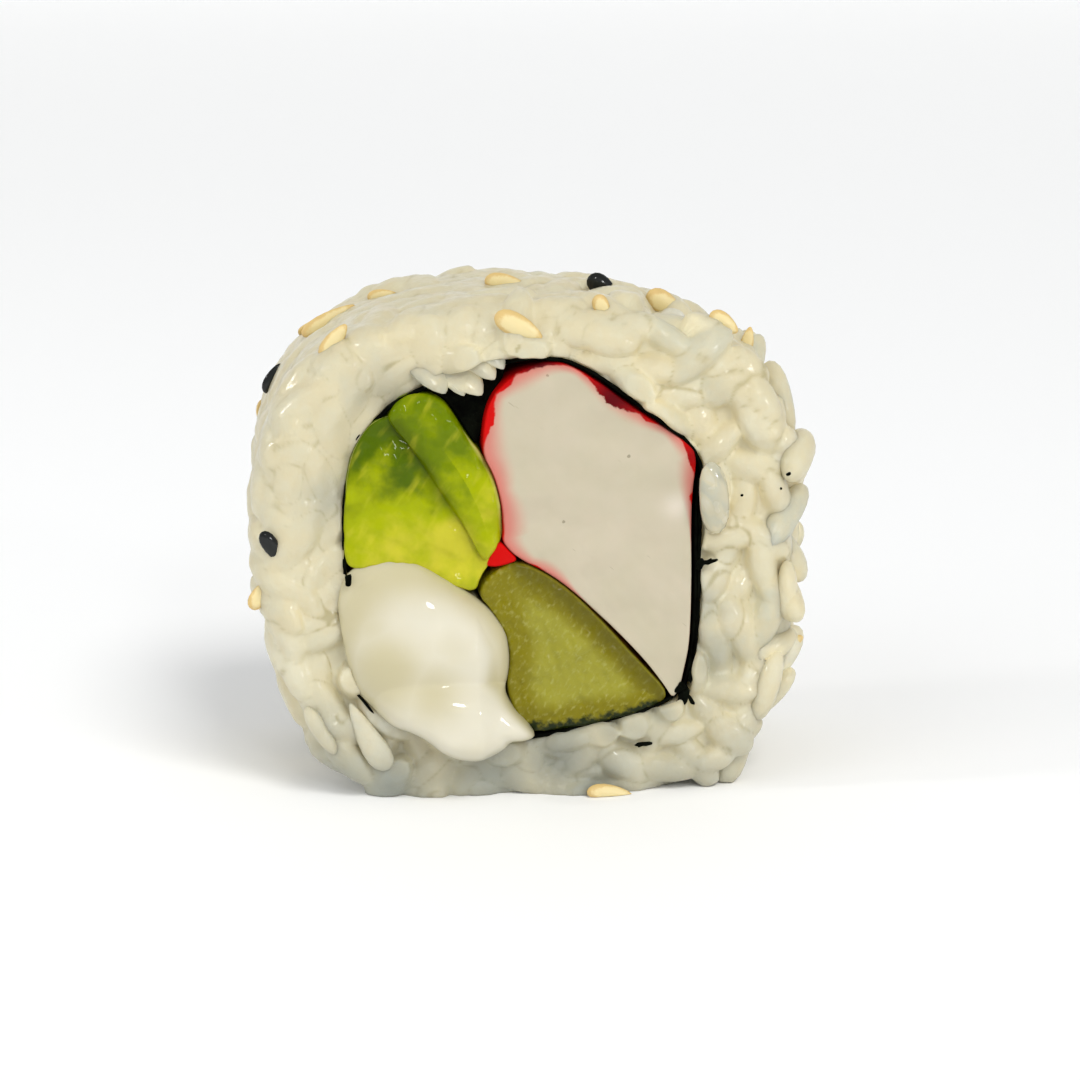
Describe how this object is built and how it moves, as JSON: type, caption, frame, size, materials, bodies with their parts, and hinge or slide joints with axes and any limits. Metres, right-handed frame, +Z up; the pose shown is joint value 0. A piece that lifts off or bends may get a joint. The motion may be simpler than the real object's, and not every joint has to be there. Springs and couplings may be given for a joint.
{
  "type": "uramaki roll",
  "caption": "Cut piece of an inside-out sushi roll: sesame-dotted rice round a nori band, crab stick, avocado, cucumber and soft cream.",
  "frame": {"origin": "middle of the flat underside, on the surface that the piece rests on, halfway between the two cut faces", "axes": "+Z up from the resting face; -Y out of the front cut face, along the roll; +X along the width, to the right when the front cut face is seen"},
  "size_m": [0.0456, 0.0279, 0.0414],
  "materials": {
    "cooked_rice": "moist, slightly translucent cooked rice with tan and black sesame seeds",
    "nori": "moist black seaweed sheet",
    "crab_stick": "white fish paste with a red skin along its rim",
    "avocado": "moist yellow-green avocado flesh",
    "cucumber": "moist olive cucumber flesh with a darker skin edge",
    "soft_cream": "glossy off-white soft cream"
  },
  "bodies": {
    "root": {"rice": "cooked_rice", "nori": "nori", "crab_stick": "crab_stick", "avocado_left": "avocado", "avocado_right": "avocado", "cucumber": "cucumber", "cream": "soft_cream"}
  },
  "joints": []
}
